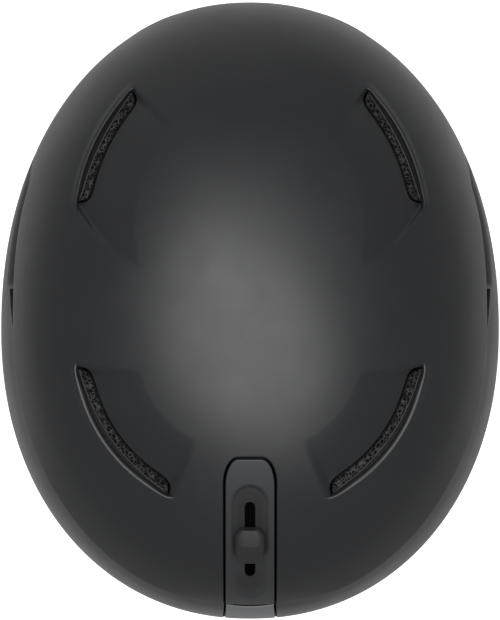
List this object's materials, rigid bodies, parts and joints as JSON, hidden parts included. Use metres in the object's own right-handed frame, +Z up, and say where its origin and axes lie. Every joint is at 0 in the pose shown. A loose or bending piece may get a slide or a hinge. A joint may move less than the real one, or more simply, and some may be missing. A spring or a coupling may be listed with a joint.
{
  "type": "ski helmet",
  "caption": "Hard-shell ski helmet with mesh vents, a sliding vent control at the back, goggle strap clip, foam liner, pads, dial fit band and chin strap.",
  "frame": {"origin": "on the ground under the middle of the helmet, which stands on its ear pads", "axes": "+Z up to the crown, +Y to the front, +X to the wearer's right"},
  "size_m": [0.2294, 0.2844, 0.185],
  "materials": {
    "shell": "satin black moulded plastic",
    "panel": "satin dark grey moulded plastic",
    "mesh": "black perforated mesh",
    "foam": "black expanded foam",
    "fleece": "dark grey brushed fabric",
    "fitting": "black moulded fittings",
    "webbing": "black woven webbing",
    "trim": "soft black edge trim",
    "metal": "plain steel"
  },
  "bodies": {
    "helmet": {"upper_shell": "shell", "lower_shell": "shell", "rear_panel": "panel", "vent_mesh_front_left": "mesh", "vent_mesh_front_right": "mesh", "vent_mesh_rear_left": "mesh", "vent_mesh_rear_right": "mesh", "foam_liner": "foam", "crown_pad": "fleece", "brow_pad": "fleece", "side_pad_left": "fleece", "side_pad_right": "fleece", "rear_pad": "fleece", "ear_pad_left": "fleece", "ear_pad_right": "fleece", "goggle_clip_base": "fitting", "ear_plate_left": "fitting", "ear_plate_right": "fitting", "fit_arm_left": "fitting", "fit_arm_right": "fitting", "fit_housing": "fitting", "strap_divider_left": "fitting", "strap_divider_right": "fitting", "buckle_socket": "fitting", "buckle_tongue": "fitting", "side_strap_left": "webbing", "side_strap_right": "webbing", "chin_strap_left": "webbing", "chin_strap_right": "webbing", "edge_trim": "trim", "goggle_clip_pin": "metal", "strap_rivets": "metal"},
    "vent_slider": {"vent_knob": "shell", "vent_shutter": "fitting", "slider_screw": "metal"},
    "goggle_clip": {"goggle_clip": "panel"},
    "fit_dial": {"fit_dial": "fitting"},
    "band_left": {"band_end_left": "fitting"},
    "band_right": {"band_end_right": "fitting"}
  },
  "joints": [
    {"name": "vent_slide", "type": "hinge", "parent": "helmet", "child": "vent_slider", "pos_m": [0, -0.04147, 0.0721], "axis": [1, 0, 0], "range_deg": [-8, 7]},
    {"name": "goggle_clip_swing", "type": "hinge", "parent": "helmet", "child": "goggle_clip", "pos_m": [0, -0.13442, 0.1192], "axis": [-1, 0, 0], "range_deg": [0, 60]},
    {"name": "fit_dial_turn", "type": "hinge", "parent": "helmet", "child": "fit_dial", "pos_m": [0, -0.105, 0.03], "axis": [0, 1, 0], "range_deg": [-57, 57]},
    {"name": "band_left_slide", "type": "slide", "parent": "helmet", "child": "band_left", "axis": [1, 0, 0], "range_m": [-0.005, 0.005]},
    {"name": "band_right_slide", "type": "slide", "parent": "helmet", "child": "band_right", "axis": [-1, 0, 0], "range_m": [-0.005, 0.005]}
  ],
  "couplings": [
    {"joint": "band_left_slide", "follows": "fit_dial_turn", "m_per_rad": 0.005},
    {"joint": "band_right_slide", "follows": "fit_dial_turn", "m_per_rad": 0.005}
  ]
}
